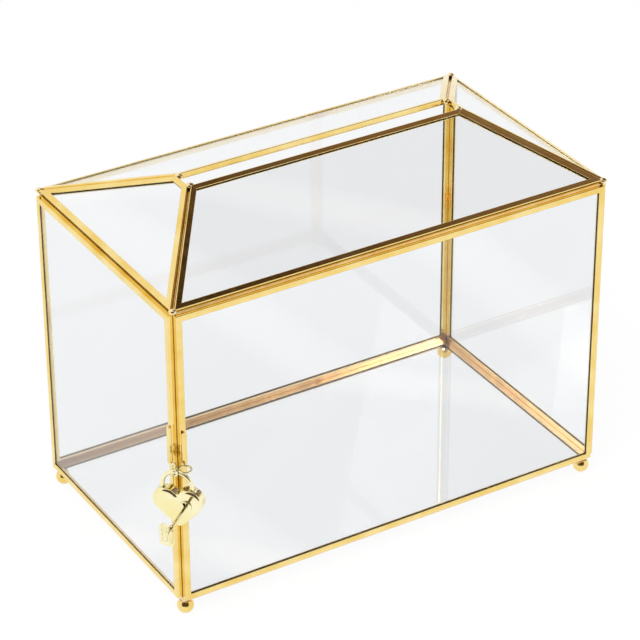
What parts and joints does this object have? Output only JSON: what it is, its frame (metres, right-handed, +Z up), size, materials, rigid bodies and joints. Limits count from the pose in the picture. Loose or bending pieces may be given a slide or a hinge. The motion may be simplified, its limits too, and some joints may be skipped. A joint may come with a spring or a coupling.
{
  "type": "wedding card box",
  "caption": "Glass card box edged in polished brass, with a hip roof, an open posting slot along the ridge, a hinged end door with a hasp, and a heart padlock with its key.",
  "frame": {"origin": "middle of the footprint, on the surface the four ball feet stand on", "axes": "+X along the front from the door end to the fixed end, +Y towards the back, +Z up"},
  "size_m": [0.2857, 0.1809, 0.2083],
  "materials": {
    "glass": "clear float glass",
    "brass_came": "polished",
    "solder": "plated solder",
    "lock_gold": "bright plated"
  },
  "bodies": {
    "frame": {"base_pane": "glass", "base_came": "brass_came", "front_pane": "glass", "front_came": "brass_came", "right_pane": "glass", "right_came": "brass_came", "back_pane": "glass", "back_came": "brass_came", "roof_front_pane": "glass", "roof_front_came": "brass_came", "roof_right_pane": "glass", "roof_right_came": "brass_came", "roof_back_pane": "glass", "roof_back_came": "brass_came", "roof_left_pane": "glass", "roof_left_came": "brass_came", "solder_seams": "solder", "foot_front_left": "brass_came", "foot_front_right": "brass_came", "foot_back_left": "brass_came", "foot_back_right": "brass_came", "door_stop_top": "brass_came", "door_stop_front": "brass_came", "hinge_upper_frame_leaf": "brass_came", "hinge_upper_pin": "brass_came", "hinge_lower_frame_leaf": "brass_came", "hinge_lower_pin": "brass_came", "frame_hasp_strap": "brass_came", "frame_hasp_eye": "lock_gold"},
    "door": {"door_pane": "glass", "door_came": "brass_came", "hinge_upper_door_leaf": "brass_came", "hinge_lower_door_leaf": "brass_came", "door_hasp_strap": "brass_came", "door_hasp_eye": "lock_gold"},
    "shackle": {"lock_shackle": "lock_gold"},
    "padlock": {"lock_case": "lock_gold", "lock_back_plate": "lock_gold", "keyhole_bush": "lock_gold"},
    "latch": {"lock_latch": "lock_gold"},
    "key": {"key": "lock_gold"}
  },
  "joints": [
    {"name": "door_hinge", "type": "hinge", "parent": "frame", "child": "door", "pos_m": [-0.1283, 0.0725, 0.0955], "axis": [0, 0, -1], "range_deg": [0, 150]},
    {"name": "padlock_swing", "type": "hinge", "parent": "door", "child": "shackle", "pos_m": [-0.13216, -0.07742, 0.09201], "axis": [-0.766, -0.6428, 0], "range_deg": [-10, 10]},
    {"name": "shackle_release", "type": "slide", "parent": "shackle", "child": "padlock", "axis": [0.0448, -0.0534, -0.9976], "range_m": [0, 0.0065]},
    {"name": "key_turn", "type": "hinge", "parent": "padlock", "child": "key", "pos_m": [-0.12787, -0.08253, 0.07687], "axis": [0.766, 0.6428, 0], "range_deg": [0, 45]},
    {"name": "latch_slide", "type": "slide", "parent": "padlock", "child": "latch", "axis": [0.6412, -0.7642, 0.0698], "range_m": [0, 0.00161]}
  ],
  "couplings": [
    {"joint": "key_turn", "follows": "latch_slide", "rad_per_m": 488.65}
  ]
}
